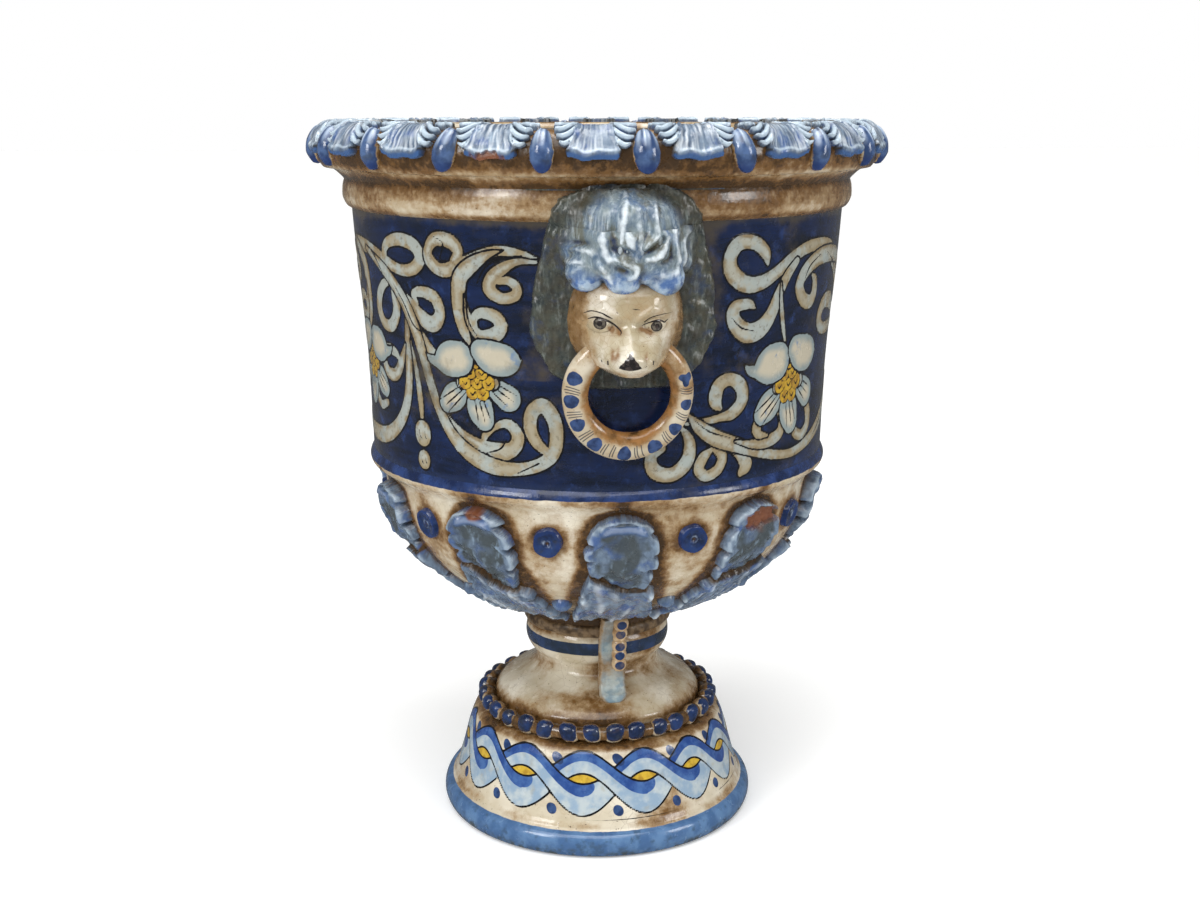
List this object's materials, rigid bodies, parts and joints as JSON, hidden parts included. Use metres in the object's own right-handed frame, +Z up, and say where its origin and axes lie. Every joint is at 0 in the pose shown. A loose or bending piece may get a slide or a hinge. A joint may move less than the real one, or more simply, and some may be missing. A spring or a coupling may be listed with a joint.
{
  "type": "krater vase",
  "caption": "Tall footed krater vase of tin-glazed earthenware with a leafy rim, lion masks holding rings, a painted band and acanthus under the bowl.",
  "frame": {"origin": "centre of the standing ring, on the surface that the vase stands on", "axes": "+Z up along the axis of the vase; the two lion masks face -Y and +Y"},
  "size_m": [0.3818, 0.4062, 0.4797],
  "materials": {
    "cream_glaze": "glossy, crazed",
    "deep_blue_glaze": "glossy",
    "leaf_blue_glaze": "glossy, mottled",
    "mane_glaze": "glossy, mottled",
    "pale_blue_glaze": "glossy",
    "slip": "rough, stained"
  },
  "bodies": {
    "root": {"foot": "cream_glaze", "foot_bead_band": "deep_blue_glaze", "joint_roll": "slip", "bowl": "cream_glaze", "rim_leaf_1": "leaf_blue_glaze", "rim_leaf_2": "leaf_blue_glaze", "rim_leaf_3": "leaf_blue_glaze", "rim_leaf_4": "leaf_blue_glaze", "rim_leaf_5": "leaf_blue_glaze", "rim_leaf_6": "leaf_blue_glaze", "rim_leaf_7": "leaf_blue_glaze", "rim_leaf_8": "leaf_blue_glaze", "rim_leaf_9": "leaf_blue_glaze", "rim_leaf_10": "leaf_blue_glaze", "rim_leaf_11": "leaf_blue_glaze", "rim_leaf_12": "leaf_blue_glaze", "rim_leaf_13": "leaf_blue_glaze", "rim_leaf_14": "leaf_blue_glaze", "rim_leaf_15": "leaf_blue_glaze", "rim_leaf_16": "leaf_blue_glaze", "rim_leaf_17": "leaf_blue_glaze", "rim_leaf_18": "leaf_blue_glaze", "rim_leaf_19": "leaf_blue_glaze", "rim_leaf_20": "leaf_blue_glaze", "acanthus_leaf_1": "leaf_blue_glaze", "acanthus_leaf_2": "leaf_blue_glaze", "acanthus_leaf_3": "leaf_blue_glaze", "acanthus_leaf_4": "leaf_blue_glaze", "acanthus_leaf_5": "leaf_blue_glaze", "acanthus_leaf_6": "leaf_blue_glaze", "acanthus_leaf_7": "leaf_blue_glaze", "acanthus_leaf_8": "leaf_blue_glaze", "acanthus_leaf_9": "leaf_blue_glaze", "acanthus_leaf_10": "leaf_blue_glaze", "stud_1": "deep_blue_glaze", "stud_2": "deep_blue_glaze", "stud_3": "deep_blue_glaze", "stud_4": "deep_blue_glaze", "stud_5": "deep_blue_glaze", "stud_6": "deep_blue_glaze", "stud_7": "deep_blue_glaze", "stud_8": "deep_blue_glaze", "stud_9": "deep_blue_glaze", "stud_10": "deep_blue_glaze", "lion_mane_front": "mane_glaze", "lion_face_front": "cream_glaze", "mask_ring_front": "cream_glaze", "strap_front": "pale_blue_glaze", "strap_rib_front": "cream_glaze", "lion_mane_back": "mane_glaze", "lion_face_back": "cream_glaze", "mask_ring_back": "cream_glaze", "strap_back": "pale_blue_glaze", "strap_rib_back": "cream_glaze"}
  },
  "joints": []
}
